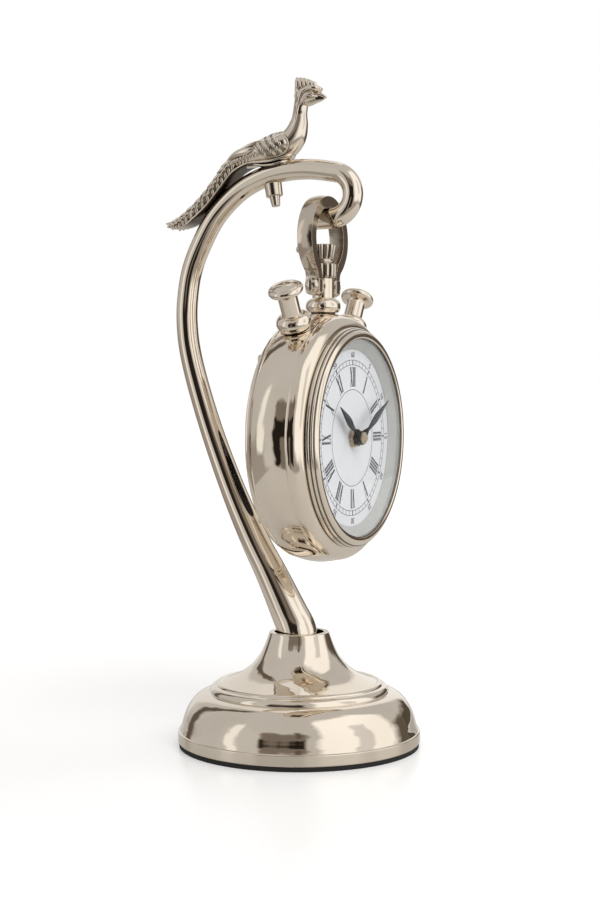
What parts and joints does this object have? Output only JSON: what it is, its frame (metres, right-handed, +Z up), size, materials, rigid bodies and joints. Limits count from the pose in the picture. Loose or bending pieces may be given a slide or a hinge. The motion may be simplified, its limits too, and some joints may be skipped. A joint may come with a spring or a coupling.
{
  "type": "pendulum table clock",
  "caption": "Table clock in the form of a large pocket watch that hangs by its bow from a shepherd's crook with a perched bird, on a round stepped base.",
  "frame": {"origin": "centre of the base's underside, on the table", "axes": "+Z up; the dial faces -Y; the crook lies in the plane X = 0 and bows out towards +Y"},
  "size_m": [0.142, 0.1585, 0.3835],
  "materials": {
    "nickel": "polished warm nickel plating",
    "cast_nickel": "nickel-plated casting, polished on its high spots and darker in its hollows",
    "steel": "bright zinc-plated steel",
    "brass": "turned brass, browned",
    "ballast": "rough cast iron",
    "pad": "matte black rubber",
    "glass": "clear domed glass",
    "dial_ring": "satin white moulding",
    "dial": "satin white paint on aluminium with a printed black chapter ring",
    "hands": "semi-matte black paint on aluminium",
    "movement": "moulded black plastic",
    "battery": "plain dark jacket, no lettering"
  },
  "bodies": {
    "stand": {"base_pad": "pad", "base_weight": "ballast", "base_dome": "nickel", "foot_washer": "steel", "foot_nut": "steel", "crook": "nickel", "peacock": "cast_nickel", "peacock_stud": "cast_nickel", "peacock_nut": "cast_nickel"},
    "bow": {"bow": "cast_nickel"},
    "clock": {"bow_screws": "cast_nickel", "neck_stem": "nickel", "pusher_collar_left": "nickel", "pusher_collar_right": "nickel", "pusher_spring_left": "steel", "pusher_spring_right": "steel", "case_shell": "nickel", "back_cover": "nickel", "back_screws": "steel", "bezel": "nickel", "glass": "glass", "dial_ring": "dial_ring", "dial": "dial", "movement_housing": "movement", "movement_cover": "movement", "battery": "battery", "battery_contacts": "steel", "drive_coil": "brass", "dial_nut": "brass"},
    "crown": {"crown": "cast_nickel"},
    "pusher_left": {"pusher_left": "nickel"},
    "pusher_right": {"pusher_right": "nickel"},
    "hour": {"hour_wheel": "brass", "hour_hand": "hands"},
    "minute": {"minute_arbor": "brass", "minute_hand": "hands", "hand_nut": "brass"},
    "setting": {"minute_wheel": "brass", "setting_knob": "movement"}
  },
  "joints": [
    {"name": "clock_swing", "type": "hinge", "parent": "stand", "child": "bow", "pos_m": [0, -0.0152, 0.3024], "axis": [0, 1, 0], "range_deg": [-30, 30]},
    {"name": "bow_pivot", "type": "hinge", "parent": "bow", "child": "clock", "pos_m": [0, -0.0152, 0.264], "axis": [1, 0, 0], "range_deg": [-60, 4]},
    {"name": "crown_turn", "type": "hinge", "parent": "clock", "child": "crown", "pos_m": [0, -0.0152, 0.275], "axis": [0, 0, 1], "continuous": true},
    {"name": "pusher_left_press", "type": "slide", "parent": "clock", "child": "pusher_left", "axis": [0.5, 0, -0.866], "range_m": [0, 0.002], "stiffness_N_per_m": 800, "springref_m": -0.002},
    {"name": "pusher_right_press", "type": "slide", "parent": "clock", "child": "pusher_right", "axis": [-0.5, 0, -0.866], "range_m": [0, 0.002], "stiffness_N_per_m": 800, "springref_m": -0.002},
    {"name": "minute_turn", "type": "hinge", "parent": "clock", "child": "minute", "pos_m": [0, -0.03, 0.178], "axis": [0, 1, 0], "continuous": true},
    {"name": "hour_turn", "type": "hinge", "parent": "clock", "child": "hour", "pos_m": [0, -0.03, 0.178], "axis": [0, 1, 0], "continuous": true},
    {"name": "setting_turn", "type": "hinge", "parent": "clock", "child": "setting", "pos_m": [0, -0.02, 0.1876], "axis": [0, 1, 0], "continuous": true}
  ],
  "couplings": [
    {"joint": "hour_turn", "follows": "minute_turn", "ratio": 0.083333},
    {"joint": "setting_turn", "follows": "minute_turn", "ratio": -0.33333}
  ]
}
